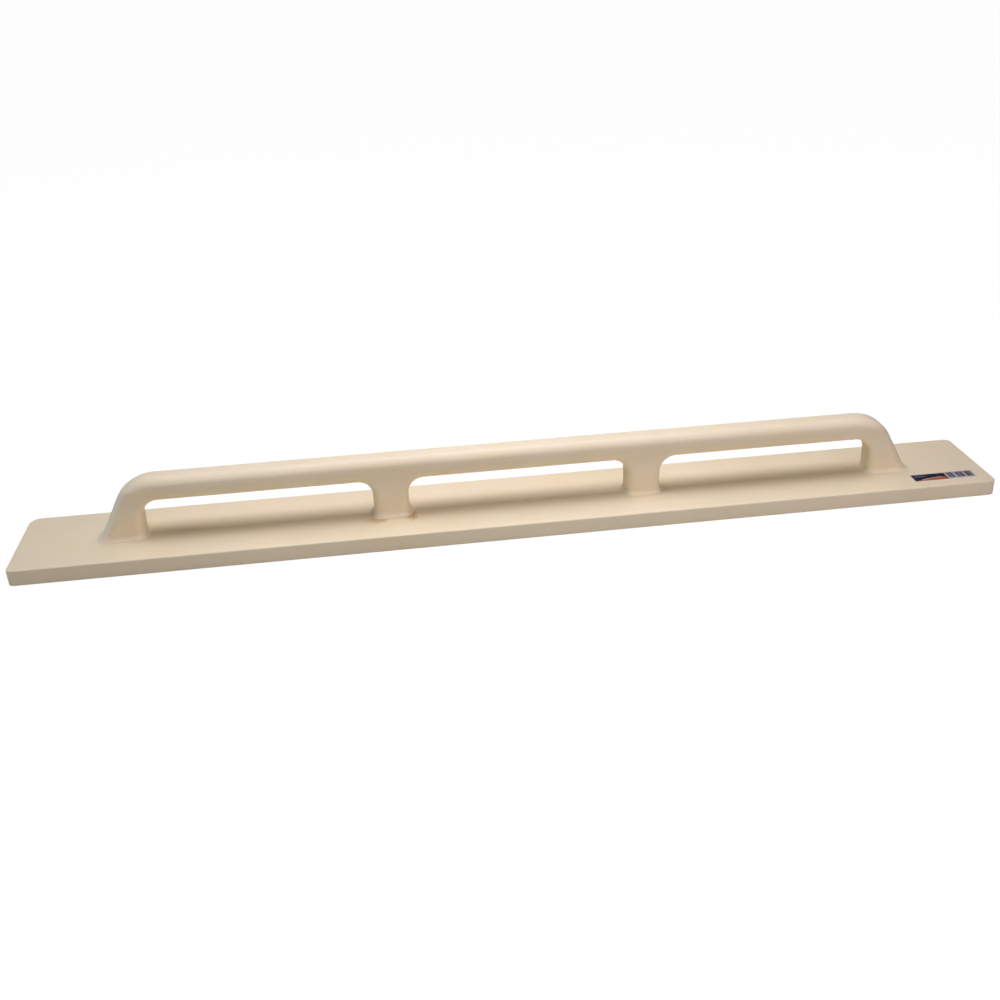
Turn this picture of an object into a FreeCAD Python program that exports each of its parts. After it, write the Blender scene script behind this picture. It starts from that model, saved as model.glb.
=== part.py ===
import FreeCAD, Part
import Sketcher
import math
import os

# Plasterer's darby: a one-metre flat board of rigid polyurethane foam with a
# long grip bar carried on two raked end legs and two middle posts.
# Frame: origin on the sole at the centre of the board, +X along the board
# towards the labelled end, +Y towards the back, +Z up out of the sole.

Vector = FreeCAD.Vector
Constraint = Sketcher.Constraint

# Driving dimensions, in millimetres and degrees: alias, value
DIMENSIONS = [
    # board
    ("blade_length", 1000.0), ("blade_width", 110.0), ("blade_thickness", 16.5),
    ("blade_corner_radius", 8.0), ("blade_top_radius", 1.5), ("blade_sole_radius", 0.5),
    # grip bar, legs and posts; reaches along X are measured from the centre
    ("bar_thickness", 28.0), ("bar_height", 24.8), ("bar_axis_height", 67.6),
    ("grip_edge_radius", 9.2), ("toe_reach", 419.2), ("leg_rake", 27.4),
    ("bend_radius", 44.8), ("opening_end", 374.8), ("post_outer", 148.5),
    ("post_inner", 112.5), ("opening_corner_radius", 15.0), ("opening_overcut", 6.0),
    # glue relief under each foot
    ("relief_depth", 0.6), ("relief_rim", 6.0), ("relief_width", 14.0),
    ("relief_corner_radius", 2.5),
    # dowels; below and above are measured from the top of the board
    ("dowel_radius", 5.0), ("dowel_hole_radius", 5.25), ("dowel_below", 10.0),
    ("dowel_above", 18.0), ("dowel_end_gap", 1.0), ("dowel_chamfer", 1.0),
    ("flute_radius", 0.6),
    # core tube of the grip bar and its plugs
    ("tube_radius", 6.0), ("tube_wall", 1.2), ("tube_length", 728.0),
    ("plug_depth", 12.0), ("plug_head", 2.0), ("plug_chamfer", 0.6),
    # flat core bars of the board
    ("core_length", 940.0), ("core_width", 12.0), ("core_thickness", 2.5),
    ("core_place", 30.0),
    # sticker
    ("label_length", 69.0), ("label_width", 16.0), ("label_thickness", 0.15),
    ("label_place_along", 450.5), ("label_place_across", -34.0),
    ("label_corner_radius", 0.8), ("label_turn", 0.0),
]

# Dimensions worked out in the sheet: alias, formula
DERIVED = [
    ("half_blade_length", "blade_length / 2"),
    ("half_blade_width", "blade_width / 2"),
    # handle
    ("bar_top", "bar_axis_height + bar_height / 2"),
    ("bar_bottom", "bar_axis_height - bar_height / 2"),
    ("opening_bottom", "blade_thickness - opening_overcut"),
    ("right_leg_angle", "90 + leg_rake"),
    ("left_leg_angle", "90 - leg_rake"),
    # reliefs and dowels, one of each centred under every foot
    ("post_relief_inner", "post_inner + relief_rim"),
    ("post_relief_outer", "post_outer - relief_rim"),
    ("end_relief_inner", "opening_end + relief_rim"),
    ("end_relief_outer", "toe_reach - relief_rim"),
    ("half_relief_width", "relief_width / 2"),
    ("post_dowel_place", "(post_inner + post_outer) / 2"),
    ("end_dowel_place", "(opening_end + toe_reach) / 2"),
    ("hole_below", "dowel_below + dowel_end_gap"),
    ("hole_above", "dowel_above + dowel_end_gap"),
    ("dowel_bottom", "blade_thickness - dowel_below"),
    ("dowel_length", "dowel_below + dowel_above"),
    ("sleeve_bottom", "dowel_bottom + dowel_chamfer"),
    ("sleeve_length", "dowel_length - 2 * dowel_chamfer"),
    # tube and plugs
    ("tube_bore_radius", "tube_radius - tube_wall"),
    ("handle_bore_length", "tube_length + 2 * plug_head"),
    ("tube_end", "tube_length / 2"),
    ("spigot_end", "tube_end - plug_depth"),
    ("spigot_chamfer_end", "spigot_end + plug_chamfer"),
    ("head_end", "tube_end + plug_head"),
    ("spigot_top", "bar_axis_height + tube_bore_radius"),
    ("spigot_chamfer_start", "spigot_top - plug_chamfer"),
    ("head_top", "bar_axis_height + tube_radius"),
    # core bars, at half the board's thickness
    ("half_core_length", "core_length / 2"),
    ("core_inner", "core_place - core_width / 2"),
    ("core_outer", "core_place + core_width / 2"),
    ("core_bottom", "(blade_thickness - core_thickness) / 2"),
    ("core_top", "(blade_thickness + core_thickness) / 2"),
    # sticker
    ("half_label_length", "label_length / 2"),
    ("half_label_width", "label_width / 2"),
]

# Feet from post to end, first on the -X side, then on the +X side.
# Columns: relief from x, relief to x, dowel x. A leading minus negates an alias.
FEET = [
    ("-post_relief_outer", "-post_relief_inner", "-post_dowel_place"),
    ("-end_relief_outer", "-end_relief_inner", "-end_dowel_place"),
    ("post_relief_inner", "post_relief_outer", "post_dowel_place"),
    ("end_relief_inner", "end_relief_outer", "end_dowel_place"),
]

# Upper half of the plug on the +X side, turned about the bar axis: x, z
PLUG_PROFILE = [
    ("spigot_end", "bar_axis_height"),
    ("spigot_end", "spigot_chamfer_start"),
    ("spigot_chamfer_end", "spigot_top"),
    ("tube_end", "spigot_top"),
    ("tube_end", "head_top"),
    ("head_end", "head_top"),
    ("head_end", "bar_axis_height"),
]

FLUTE_COUNT = 12
TOLERANCE = 1e-4  # for picking edges by their bounding boxes

doc = FreeCAD.newDocument("darby_float")
sheet = doc.addObject("Spreadsheet::Sheet", "Dimensions")
sheet.Label = "dimensions"
cells = [(alias, repr(value)) for alias, value in DIMENSIONS]
cells += [(alias, "=" + formula) for alias, formula in DERIVED]
for row, (alias, content) in enumerate(cells, start=1):
    sheet.set("A%d" % row, alias)
    sheet.set("B%d" % row, content)
    sheet.setAlias("B%d" % row, alias)
doc.recompute()
size = {alias: float(sheet.get(alias)) for alias, _ in cells}


# ------------------------------------------------------------------- helpers
def signed(name):
    """Value of an alias that may carry a leading minus."""
    return -size[name[1:]] if name.startswith("-") else size[name]


def cell(name):
    """Expression for the magnitude of an alias that may carry a leading minus."""
    return "Dimensions." + name.lstrip("-")


def add_body(name):
    body = doc.addObject("PartDesign::Body", name)
    body.Label = name
    return body


def add_compound(name, links):
    compound = doc.addObject("Part::Compound", name)
    compound.Label = name
    compound.Links = links
    return compound


def add_sketch(body, name, role, height=None):
    sketch = body.newObject("Sketcher::SketchObject", name)
    plane = next(item for item in body.Origin.OriginFeatures if item.Role == role)
    sketch.AttachmentSupport = [(plane, "")]
    sketch.MapMode = "FlatFace"
    if height is not None:
        sketch.setExpression("AttachmentOffset.Base.z", cell(height))
    return sketch


def bind(sketch, kind, args, value, expression):
    """Add one driving dimension and tie it to the sheet."""
    index = sketch.addConstraint(Constraint(kind, *args, value))
    sketch.setExpression("Constraints[%d]" % index, expression)


def bind_radius(sketch, curve, radius):
    bind(sketch, "Radius", (curve,), size[radius], cell(radius))


def bind_angle(sketch, line, angle):
    bind(sketch, "Angle", (line,), math.radians(size[angle]), cell(angle) + " * 1 deg")


def bind_offset(sketch, kind, geometry, point, value, expression):
    """Distance of a point from the origin along one axis. The order of the
    two points carries the sign, so the expression gives a magnitude."""
    if value >= 0:
        args = (-1, 1, geometry, point)
    else:
        args = (geometry, point, -1, 1)
    bind(sketch, kind, args, abs(value), expression)


def place(sketch, kind, geometry, point, name):
    """Offset from the origin given by a signed alias."""
    bind_offset(sketch, kind, geometry, point, signed(name), cell(name))


def add_line(sketch, start, end):
    """Line between two (x, y) points."""
    return sketch.addGeometry(Part.LineSegment(Vector(*start, 0), Vector(*end, 0)), False)


def add_arc(sketch, centre, radius, start, end):
    """Counter-clockwise arc about (x, y), from start to end in degrees."""
    full = Part.Circle(Vector(*centre, 0), Vector(0, 0, 1), radius)
    arc = Part.ArcOfCircle(full, math.radians(start), math.radians(end))
    return sketch.addGeometry(arc, False)


def add_polygon(sketch, corners):
    """Closed loop of lines; line i starts at corner i."""
    count = len(corners)
    lines = [add_line(sketch, corners[i], corners[(i + 1) % count]) for i in range(count)]
    for i in range(count):
        sketch.addConstraint(Constraint("Coincident", lines[i], 2, lines[(i + 1) % count], 1))
    return lines


def add_rectangle(sketch, x_from, x_to, y_from, y_to):
    """Sharp-cornered rectangle between signed aliases."""
    left, right, low, high = [signed(name) for name in (x_from, x_to, y_from, y_to)]
    lines = add_polygon(sketch, [(left, low), (right, low), (right, high), (left, high)])
    for line, direction in zip(lines, ("Horizontal", "Vertical") * 2):
        sketch.addConstraint(Constraint(direction, line))
    place(sketch, "DistanceX", lines[0], 1, x_from)
    place(sketch, "DistanceX", lines[1], 1, x_to)
    place(sketch, "DistanceY", lines[0], 1, y_from)
    place(sketch, "DistanceY", lines[2], 1, y_to)


def add_rounded_rectangle(sketch, x_from, x_to, y_from, y_to, radius, top_only=False):
    """Rectangle with tangent corner arcs between signed aliases. With top_only
    the two lower corners are sharp."""
    left, right, low, high = [signed(name) for name in (x_from, x_to, y_from, y_to)]
    r = size[radius]
    r_low = 0.0 if top_only else r
    bottom_line = add_line(sketch, (left + r_low, low), (right - r_low, low))
    right_line = add_line(sketch, (right, low + r_low), (right, high - r))
    top_line = add_line(sketch, (right - r, high), (left + r, high))
    left_line = add_line(sketch, (left, high - r), (left, low + r_low))
    top_right = add_arc(sketch, (right - r, high - r), r, 0, 90)
    top_left = add_arc(sketch, (left + r, high - r), r, 90, 180)
    arcs = [top_left]
    tangents = [(right_line, top_right), (top_right, top_line),
                (top_line, top_left), (top_left, left_line)]
    if top_only:
        sketch.addConstraint(Constraint("Coincident", bottom_line, 2, right_line, 1))
        sketch.addConstraint(Constraint("Coincident", left_line, 2, bottom_line, 1))
    else:
        low_left = add_arc(sketch, (left + r, low + r), r, 180, 270)
        low_right = add_arc(sketch, (right - r, low + r), r, 270, 360)
        arcs += [low_left, low_right]
        tangents += [(left_line, low_left), (low_left, bottom_line),
                     (bottom_line, low_right), (low_right, right_line)]
    for first, second in tangents:
        sketch.addConstraint(Constraint("Tangent", first, 2, second, 1))
    for arc in arcs:
        sketch.addConstraint(Constraint("Equal", top_right, arc))
    for line in (bottom_line, top_line):
        sketch.addConstraint(Constraint("Horizontal", line))
    for line in (right_line, left_line):
        sketch.addConstraint(Constraint("Vertical", line))
    bind_radius(sketch, top_right, radius)
    place(sketch, "DistanceX", left_line, 2, x_from)
    place(sketch, "DistanceX", right_line, 1, x_to)
    place(sketch, "DistanceY", bottom_line, 1, y_from)
    place(sketch, "DistanceY", top_line, 1, y_to)


def add_circle(sketch, radius, x=None, y=None):
    """Circle at signed aliases; a coordinate left out is zero."""
    centre = Vector(signed(x) if x else 0, signed(y) if y else 0, 0)
    circle = sketch.addGeometry(Part.Circle(centre, Vector(0, 0, 1), size[radius]), False)
    bind_radius(sketch, circle, radius)
    # -2 is the sketch's vertical axis and -1 its horizontal axis
    for kind, name, axis in (("DistanceX", x, -2), ("DistanceY", y, -1)):
        if name:
            place(sketch, kind, circle, 3, name)
        else:
            sketch.addConstraint(Constraint("PointOnObject", circle, 3, axis))


def pad(body, sketch, name, length, symmetric=False):
    feature = body.newObject("PartDesign::Pad", name)
    feature.Profile = sketch
    if symmetric:
        feature.SideType = "Symmetric"
    feature.setExpression("Length", cell(length))
    doc.recompute()
    return feature


def pocket(body, sketch, name, length=None, symmetric=False, upward=False):
    """Cut the profile, right through if no length is given, and make sure
    that material really went."""
    before = body.Tip.Shape.Volume
    feature = body.newObject("PartDesign::Pocket", name)
    feature.Profile = sketch
    if symmetric:
        feature.SideType = "Symmetric"
    if length is None:
        feature.Type = "ThroughAll"
    else:
        feature.setExpression("Length", cell(length))
    feature.Reversed = upward
    doc.recompute()
    if not feature.Shape.Volume < before - 1e-3:
        raise RuntimeError("%s cut nothing" % name)
    return feature


def ease_edges(body, base, kind, name, test, amount):
    """Fillet or chamfer the edges whose bounding box passes the test."""
    edges = ["Edge%d" % i for i, edge in enumerate(base.Shape.Edges, start=1)
             if test(edge.BoundBox)]
    feature = body.newObject("PartDesign::" + kind, name)
    feature.Base = (base, edges)
    feature.setExpression("Radius" if kind == "Fillet" else "Size", cell(amount))
    doc.recompute()
    return feature


def add_dowel_holes(body, name):
    """Sketch of all four dowel holes on the top of the board."""
    sketch = add_sketch(body, name, "XY_Plane", "blade_thickness")
    for _, _, dowel_x in FEET:
        add_circle(sketch, "dowel_hole_radius", x=dowel_x)
    return sketch


def add_relief_outline(sketch, relief_from, relief_to):
    add_rounded_rectangle(sketch, relief_from, relief_to, "-half_relief_width",
                          "half_relief_width", "relief_corner_radius")


# -------------------------------------------------------------------- pieces
def build_blade():
    """Flat board with rounded plan corners, eased top edge, nearly sharp sole
    edge, four blind dowel holes and two closed slots for the core bars."""
    body = add_body("blade")
    sketch = add_sketch(body, "blade_plan", "XY_Plane")
    add_rounded_rectangle(sketch, "-half_blade_length", "half_blade_length",
                          "-half_blade_width", "half_blade_width", "blade_corner_radius")
    slab = pad(body, sketch, "blade_slab", "blade_thickness")
    top_level = size["blade_thickness"] - TOLERANCE
    eased = ease_edges(body, slab, "Fillet", "blade_top_round",
                       lambda box: box.ZMin > top_level, "blade_top_radius")
    ease_edges(body, eased, "Fillet", "blade_sole_round",
               lambda box: box.ZMax < TOLERANCE, "blade_sole_radius")

    pocket(body, add_dowel_holes(body, "blade_dowel_holes"), "blade_dowel_bores",
           "hole_below")

    sketch = add_sketch(body, "blade_core_section", "YZ_Plane")
    for y_from, y_to in (("-core_outer", "-core_inner"), ("core_inner", "core_outer")):
        add_rectangle(sketch, y_from, y_to, "core_bottom", "core_top")
    pocket(body, sketch, "blade_core_slots", "core_length", symmetric=True)
    return body


def draw_handle_outline(sketch):
    """Outline of bar and raked legs, with a bend between bar and each leg."""
    toe = size["toe_reach"]
    floor = size["blade_thickness"]
    top = size["bar_top"]
    bend = size["bend_radius"]
    rake_degrees = size["leg_rake"]
    rake = math.radians(rake_degrees)
    # where the leg line would meet the top of the bar, and the bend's tangent length
    meeting_x = toe - math.tan(rake) * (top - floor)
    tangent = bend * math.tan((math.radians(90.0) - rake) / 2)
    crest_x = meeting_x - tangent
    leg_x = meeting_x + tangent * math.sin(rake)
    leg_z = top - tangent * math.cos(rake)

    foot = add_line(sketch, (-toe, floor), (toe, floor))
    right_leg = add_line(sketch, (toe, floor), (leg_x, leg_z))
    right_bend = add_arc(sketch, (crest_x, top - bend), bend, rake_degrees, 90)
    crest = add_line(sketch, (crest_x, top), (-crest_x, top))
    left_bend = add_arc(sketch, (-crest_x, top - bend), bend, 90, 180 - rake_degrees)
    left_leg = add_line(sketch, (-toe, floor), (-leg_x, leg_z))
    for args in (("Coincident", foot, 2, right_leg, 1),
                 ("Tangent", right_leg, 2, right_bend, 1),
                 ("Tangent", right_bend, 2, crest, 1),
                 ("Tangent", crest, 2, left_bend, 1),
                 ("Tangent", left_bend, 2, left_leg, 2),
                 ("Coincident", left_leg, 1, foot, 1),
                 ("Horizontal", foot),
                 ("Horizontal", crest),
                 ("Equal", right_bend, left_bend)):
        sketch.addConstraint(Constraint(*args))
    place(sketch, "DistanceX", foot, 2, "toe_reach")
    place(sketch, "DistanceX", foot, 1, "-toe_reach")
    place(sketch, "DistanceY", foot, 1, "blade_thickness")
    place(sketch, "DistanceY", crest, 1, "bar_top")
    bind_radius(sketch, right_bend, "bend_radius")
    bind_angle(sketch, right_leg, "right_leg_angle")
    bind_angle(sketch, left_leg, "left_leg_angle")


def build_handle():
    """One casting: bar, legs and posts with deeply rounded long edges, which
    leaves narrow flats on bar and posts."""
    body = add_body("handle_frame")
    sketch = add_sketch(body, "handle_outline", "XZ_Plane")
    draw_handle_outline(sketch)
    pad(body, sketch, "handle_blank", "bar_thickness", symmetric=True)

    # The openings run below the foot plane, so that they part the feet.
    sketch = add_sketch(body, "handle_openings", "XZ_Plane")
    for x_from, x_to in (("-opening_end", "-post_outer"), ("-post_inner", "post_inner"),
                         ("post_outer", "opening_end")):
        add_rounded_rectangle(sketch, x_from, x_to, "opening_bottom", "bar_bottom",
                              "opening_corner_radius", top_only=True)
    comb = pocket(body, sketch, "handle_hand_openings", symmetric=True)

    # Long edges lie flat in the front or back face and rise above the foot plane.
    foot_level = size["blade_thickness"] + TOLERANCE
    ease_edges(body, comb, "Fillet", "handle_edge_round",
               lambda box: box.YMax - box.YMin < TOLERANCE and box.ZMax > foot_level,
               "grip_edge_radius")

    sketch = add_sketch(body, "handle_foot_relief", "XY_Plane", "blade_thickness")
    for relief_from, relief_to, _ in FEET:
        add_relief_outline(sketch, relief_from, relief_to)
    pocket(body, sketch, "handle_glue_relief", "relief_depth", upward=True)

    pocket(body, add_dowel_holes(body, "handle_dowel_holes"), "handle_dowel_bores",
           "hole_above", upward=True)

    sketch = add_sketch(body, "handle_core_section", "YZ_Plane")
    add_circle(sketch, "tube_radius", y="bar_axis_height")
    pocket(body, sketch, "handle_core_bore", "handle_bore_length", symmetric=True)
    return body


def build_tube():
    """Core tube along the axis of the grip bar."""
    body = add_body("handle_core_tube")
    sketch = add_sketch(body, "tube_section", "YZ_Plane")
    add_circle(sketch, "tube_radius", y="bar_axis_height")
    add_circle(sketch, "tube_bore_radius", y="bar_axis_height")
    pad(body, sketch, "tube_wall_pad", "tube_length", symmetric=True)
    return body


def build_plug(sign, tag):
    """Tube plug: a head as wide as the tube and a chamfered spigot inside it."""
    body = add_body("tube_end_plug_" + tag)
    sketch = add_sketch(body, "plug_profile_" + tag, "XZ_Plane")
    profile = [(sign + x, z) for x, z in PLUG_PROFILE]
    lines = add_polygon(sketch, [(signed(x), signed(z)) for x, z in profile])
    for i in (0, 3, 5):
        sketch.addConstraint(Constraint("Vertical", lines[i]))
    for i in (2, 4, 6):
        sketch.addConstraint(Constraint("Horizontal", lines[i]))
    for i in (0, 3, 5, 2):
        place(sketch, "DistanceX", lines[i], 1, profile[i][0])
    for i in (0, 1, 2, 4):
        place(sketch, "DistanceY", lines[i], 1, profile[i][1])
    turned = body.newObject("PartDesign::Revolution", "plug_turned_" + tag)
    turned.Profile = sketch
    turned.ReferenceAxis = (sketch, ["Edge7"])  # the closing line, on the bar axis
    turned.Angle = 360.0
    doc.recompute()
    return body


def build_dowel(tag, dowel_x):
    """Fluted dowel, chamfered at both ends."""
    body = add_body("post_dowel" + tag)
    sketch = add_sketch(body, "dowel_section" + tag, "XY_Plane", "dowel_bottom")
    add_circle(sketch, "dowel_radius", x=dowel_x)
    stick = pad(body, sketch, "dowel_stick" + tag, "dowel_length")
    ease_edges(body, stick, "Chamfer", "dowel_ends" + tag,
               lambda box: box.ZMax - box.ZMin < TOLERANCE, "dowel_chamfer")

    sketch = add_sketch(body, "dowel_flutes" + tag, "XY_Plane", "dowel_bottom")
    side = -1 if dowel_x.startswith("-") else 1
    for i in range(FLUTE_COUNT):
        # half a pitch of turn keeps every flute centre off the X axis
        angle = math.radians(360.0 / FLUTE_COUNT * (i + 0.5))
        across, along = math.sin(angle), math.cos(angle)
        x = signed(dowel_x) + size["dowel_radius"] * along
        y = size["dowel_radius"] * across
        flute = sketch.addGeometry(
            Part.Circle(Vector(x, y, 0), Vector(0, 0, 1), size["flute_radius"]), False)
        bind_radius(sketch, flute, "flute_radius")
        bind_offset(sketch, "DistanceX", flute, 3, x, "%s + %s * %.9f"
                    % (cell(dowel_x), cell("dowel_radius"), side * along))
        bind_offset(sketch, "DistanceY", flute, 3, y, "%s * %.9f"
                    % (cell("dowel_radius"), abs(across)))
    pocket(body, sketch, "dowel_flute_cut" + tag, "dowel_length", upward=True)
    return body


def build_bond(tag, relief_from, relief_to, dowel_x):
    """Set resin under one foot: a pad that fills the relief and a sleeve
    around the dowel, down into the board and up into the foot."""
    body = add_body("adhesive_bond" + tag)
    sketch = add_sketch(body, "bond_pad_plan" + tag, "XY_Plane", "blade_thickness")
    add_relief_outline(sketch, relief_from, relief_to)
    add_circle(sketch, "dowel_hole_radius", x=dowel_x)
    pad(body, sketch, "bond_pad" + tag, "relief_depth")

    sketch = add_sketch(body, "bond_sleeve_plan" + tag, "XY_Plane", "sleeve_bottom")
    add_circle(sketch, "dowel_hole_radius", x=dowel_x)
    add_circle(sketch, "dowel_radius", x=dowel_x)
    pad(body, sketch, "bond_sleeve" + tag, "sleeve_length")
    return body


def build_core_bar(tag, y_expression):
    """Flat bar cast into the board."""
    bar = doc.addObject("Part::Box", "blade_core_" + tag)
    bar.Label = "blade_core_" + tag
    bar.setExpression("Length", cell("core_length"))
    bar.setExpression("Width", cell("core_width"))
    bar.setExpression("Height", cell("core_thickness"))
    bar.setExpression("Placement.Base.x", "-" + cell("half_core_length"))
    bar.setExpression("Placement.Base.y", y_expression)
    bar.setExpression("Placement.Base.z", cell("core_bottom"))
    return bar


def build_label():
    """Thin sticker on top of the board near its +X end."""
    body = add_body("label")
    sketch = add_sketch(body, "label_plan", "XY_Plane")
    add_rounded_rectangle(sketch, "-half_label_length", "half_label_length",
                          "-half_label_width", "half_label_width", "label_corner_radius")
    pad(body, sketch, "label_sheet", "label_thickness")
    body.setExpression("Placement.Base.x", cell("label_place_along"))
    body.setExpression("Placement.Base.y", cell("label_place_across"))
    body.setExpression("Placement.Base.z", cell("blade_thickness"))
    body.setExpression("Placement.Rotation.Angle", cell("label_turn") + " * 1 deg")
    return body


blade = build_blade()
handle = build_handle()
tube = build_tube()
plugs = [build_plug("-", "left"), build_plug("", "right")]
dowels = [build_dowel("_%d" % i, foot[2]) for i, foot in enumerate(FEET, start=1)]
bonds = [build_bond("_%d" % i, *foot) for i, foot in enumerate(FEET, start=1)]
core_bars = [build_core_bar("front", "-" + cell("core_outer")),
             build_core_bar("back", cell("core_inner"))]

# Pieces to export: name, object, number of solids
PIECES = [
    ("blade", blade, 1),
    ("handle_frame", handle, 1),
    ("label", build_label(), 1),
    ("adhesive_bonds", add_compound("adhesive_bonds", bonds), 4),
    ("post_dowels", add_compound("post_dowels", dowels), 4),
    ("handle_core_tube", tube, 1),
    ("tube_end_plugs", add_compound("tube_end_plugs", plugs), 2),
    ("blade_core_bars", add_compound("blade_core_bars", core_bars), 2),
]
doc.recompute()

# ---------------------------------------------------------- check and export
for item in doc.Objects:
    if "Invalid" in item.State or "Error" in item.State:
        raise RuntimeError("%s is %s" % (item.Name, item.State))
    if item.TypeId == "Sketcher::SketchObject" and item.solve() != 0:
        raise RuntimeError("%s does not solve" % item.Name)

for name, piece, count in PIECES:
    if piece.Shape.isNull() or not piece.Shape.isValid():
        raise RuntimeError("%s has no valid shape" % name)
    if len(piece.Shape.Solids) != count:
        raise RuntimeError("%s has %d solids" % (name, len(piece.Shape.Solids)))

os.makedirs("parts", exist_ok=True)
for name, piece, _ in PIECES:
    piece.Shape.exportStep("parts/%s.step" % name)
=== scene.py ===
# Darby of hard polyurethane foam: a long board with a cast grip of three hand openings.
# The board lies flat, its length along X and its sole at z = 0. The grip stands on it,
# centred on Y. Left is -X and front is -Y, the side the camera is on.
# Sizes are in millimetres, unless a comment says metres; meshes are scaled when built.
import math

import bmesh
import bpy
import numpy as np
from mathutils import Matrix, Vector, noise


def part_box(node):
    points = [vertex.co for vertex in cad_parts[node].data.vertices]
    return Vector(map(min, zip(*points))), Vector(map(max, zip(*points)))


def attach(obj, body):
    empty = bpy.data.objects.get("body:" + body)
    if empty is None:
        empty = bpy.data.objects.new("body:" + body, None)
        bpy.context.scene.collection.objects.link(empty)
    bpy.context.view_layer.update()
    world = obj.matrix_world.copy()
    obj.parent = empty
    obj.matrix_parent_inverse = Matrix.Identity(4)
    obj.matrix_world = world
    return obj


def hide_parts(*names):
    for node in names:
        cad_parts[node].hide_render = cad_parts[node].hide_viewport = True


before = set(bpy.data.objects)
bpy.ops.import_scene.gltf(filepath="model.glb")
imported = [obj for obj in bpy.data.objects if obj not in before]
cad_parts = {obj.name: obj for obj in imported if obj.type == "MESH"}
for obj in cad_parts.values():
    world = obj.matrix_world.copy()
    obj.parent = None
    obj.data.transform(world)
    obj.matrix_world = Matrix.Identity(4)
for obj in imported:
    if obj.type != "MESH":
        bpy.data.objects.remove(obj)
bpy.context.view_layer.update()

MM = 0.001

# ------------------------------------------------------------ driving sizes
blade_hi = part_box("blade")[1] / MM
grip_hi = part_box("handle_frame")[1] / MM
label_lo, label_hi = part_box("label")
HALF_LENGTH = blade_hi.x
HALF_WIDTH = blade_hi.y
BOARD_TOP = blade_hi.z
TOE = grip_hi.x                 # where a raked leg meets the board
CREST = grip_hi.z               # top of the bar
HALF_DEPTH = grip_hi.y          # half the thickness of the bar
UNDERSIDE = CREST - 24.8        # underside of the bar
OPEN_END = 374.8                # far end of the outer openings
POST_OUT, POST_IN = 148.5, 112.5    # outer and inner sides of the two middle posts
RAKE = math.radians(27.4)       # lean of the end legs from upright
BEND = 44.8                     # outer radius where a leg turns into the bar


def leg_x(z):
    """Outer side of the right leg at height z."""
    return TOE - math.tan(RAKE) * (z - BOARD_TOP)


# centre of the right bend
BEND_X = leg_x(CREST) - BEND * math.tan((math.pi / 2 - RAKE) / 2)
BEND_Z = CREST - BEND


# ------------------------------------------------------------ material tools
def srgb(*display):
    """Display colour 0-255 to linear RGBA."""
    shares = [c / 255.0 for c in display]
    return tuple(c / 12.92 if c <= 0.04045 else ((c + 0.055) / 1.055) ** 2.4
                 for c in shares) + (1.0,)


def tinted(colour, *gains):
    """Colour times one gain, or one gain per channel, held to 1."""
    if len(gains) == 1:
        gains *= 3
    return tuple(min(1.0, c * g) for c, g in zip(colour, gains)) + (1.0,)


class NodeMaterial:
    """A node material; every value may be a number, a tuple or a socket."""

    def __init__(self, name):
        self.material = bpy.data.materials.new(name)
        self.material.use_nodes = True
        self.tree = self.material.node_tree
        self.bsdf = self.tree.nodes["Principled BSDF"]
        self.coord = self.add("ShaderNodeTexCoord").outputs["Object"]

    def feed(self, socket, value):
        if isinstance(value, bpy.types.NodeSocket):
            self.tree.links.new(value, socket)
        else:
            socket.default_value = value

    def add(self, kind, inputs=None, **props):
        node = self.tree.nodes.new(kind)
        for key, value in props.items():
            setattr(node, key, value)
        for key, value in (inputs or {}).items():
            self.feed(node.inputs[key], value)
        return node

    def scaled(self, *scale):
        return self.add("ShaderNodeMapping",
                        {"Scale": scale, "Vector": self.coord}).outputs["Vector"]

    def noise(self, scale, detail=3.0, roughness=0.55, vector=None, distortion=0.0):
        return self.add("ShaderNodeTexNoise", {
            "Scale": scale, "Detail": detail, "Roughness": roughness,
            "Distortion": distortion, "Vector": vector or self.coord}).outputs["Fac"]

    def voronoi(self, scale):
        return self.add("ShaderNodeTexVoronoi", {"Scale": scale, "Vector": self.coord}).outputs

    def ramp(self, factor, stops):
        """Colour ramp; stops are (position, RGBA)."""
        node = self.add("ShaderNodeValToRGB", {"Fac": factor})
        elements = node.color_ramp.elements
        while len(elements) < len(stops):
            elements.new(0.5)
        for i, (position, colour) in enumerate(stops):
            elements[i].position = position
            elements[i].color = colour
        return node.outputs["Color"]

    def remap(self, value, over, to):
        """Carry the range `over` to the range `to`."""
        return self.add("ShaderNodeMapRange", {
            "From Min": over[0], "From Max": over[1],
            "To Min": to[0], "To Max": to[1], "Value": value}).outputs["Result"]

    def mix(self, factor, first, second, blend="MIX"):
        # sockets 6 and 7 are the two colours
        return self.add("ShaderNodeMix", {0: factor, 6: first, 7: second},
                        data_type="RGBA", blend_type=blend, clamp_factor=True).outputs[2]

    def math(self, operation, first, second):
        return self.add("ShaderNodeMath", {0: first, 1: second}, operation=operation).outputs[0]

    def bump(self, height, strength, distance, under=None):
        """Bump, distance in metres, laid over the normal `under`."""
        inputs = {"Strength": strength, "Distance": distance, "Height": height}
        if under is not None:
            inputs["Normal"] = under
        return self.add("ShaderNodeBump", inputs).outputs["Normal"]

    def finish(self, **values):
        """Feed the Principled shader; underscores stand for spaces."""
        for key, value in values.items():
            self.feed(self.bsdf.inputs[key.replace("_", " ")], value)
        return self.material


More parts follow.
